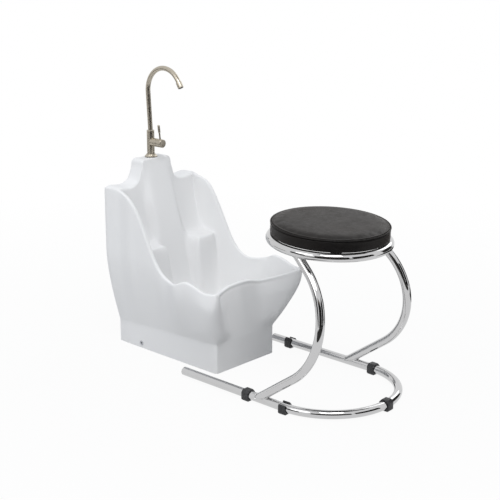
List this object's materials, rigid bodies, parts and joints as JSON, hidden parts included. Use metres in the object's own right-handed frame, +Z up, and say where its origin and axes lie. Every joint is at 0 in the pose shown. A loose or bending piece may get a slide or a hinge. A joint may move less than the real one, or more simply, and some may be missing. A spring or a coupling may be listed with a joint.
{
  "type": "pedicure basin and stool set",
  "caption": "Glazed ceramic pedicure foot basin with a gooseneck tap on its pedestal, and a round padded stool on a chromed cantilever tube frame whose floor rails straddle the basin.",
  "frame": {"origin": "on the floor, at the middle of the whole set's footprint", "axes": "+X to the right of a person facing the basin from the stool, +Y from the stool towards the basin's flat back, +Z up"},
  "size_m": [0.435, 0.9743, 0.8745],
  "materials": {
    "white_glaze": "glossy white glaze on moulded sanitary ceramic",
    "satin_steel": "satin brushed stainless steel",
    "black_rubber": "matt moulded rubber",
    "white_plastic": "moulded white plastic",
    "zinc_steel": "zinc-plated pressed steel",
    "brass": "machined brass",
    "chromed_tube": "polished chrome on round steel tube",
    "grey_plastic": "light grey moulded plastic",
    "black_plastic": "black moulded plastic",
    "birch_ply": "sanded plywood",
    "foam": "cut polyurethane foam",
    "dark_leatherette": "very dark brown leatherette, soft sheen",
    "black_cloth": "thin black non-woven cloth"
  },
  "bodies": {
    "basin": {"basin_shell": "white_glaze", "drain_flange": "satin_steel", "flange_seal": "black_rubber", "drain_gasket": "black_rubber", "drain_locknut": "white_plastic", "drain_tailpiece": "white_plastic", "fixing_brackets": "zinc_steel", "fixing_bushes": "white_plastic", "side_screws": "zinc_steel", "tap_gasket": "black_rubber", "tap_flange": "satin_steel", "tap_body": "satin_steel", "tap_shank": "brass", "shank_washer": "black_rubber", "shank_plate": "zinc_steel", "shank_nut": "brass", "valve_housing": "satin_steel", "valve_cartridge": "brass", "bonnet_nut": "brass", "spout_bush": "white_plastic", "spout_orings": "black_rubber"},
    "plug": {"drain_plug": "satin_steel", "plug_seal": "black_rubber"},
    "spout": {"spout_tube": "satin_steel", "aerator_housing": "satin_steel", "aerator_washer": "black_rubber", "aerator_insert": "white_plastic"},
    "handle": {"cartridge_stem": "brass", "handle_hub": "satin_steel", "handle_lever": "satin_steel", "hub_screw": "zinc_steel"},
    "stool": {"base_loop": "chromed_tube", "left_leg": "chromed_tube", "right_leg": "chromed_tube", "seat_ring": "chromed_tube", "rail_end_plugs": "grey_plastic", "rail_clips": "black_plastic", "seat_tabs": "zinc_steel", "seat_board": "birch_ply", "seat_tnuts": "zinc_steel", "seat_screws": "zinc_steel", "seat_foam": "foam", "seat_cover": "dark_leatherette", "seat_welt": "dark_leatherette", "seat_undercloth": "black_cloth"}
  },
  "joints": [
    {"name": "spout_swivel", "type": "hinge", "parent": "basin", "child": "spout", "pos_m": [0, 0.461, 0.6695], "axis": [0, 0, 1], "continuous": true},
    {"name": "handle_turn", "type": "hinge", "parent": "basin", "child": "handle", "pos_m": [0, 0.42, 0.633], "axis": [0, -1, 0], "range_deg": [0, 90]},
    {"name": "plug_lift", "type": "slide", "parent": "basin", "child": "plug", "axis": [0, 0, 1], "range_m": [0, 0.009]},
    {"name": "stool_slide", "type": "slide", "parent": "basin", "child": "stool", "axis": [0, 1, 0], "range_m": [-0.15, 0.1]}
  ]
}
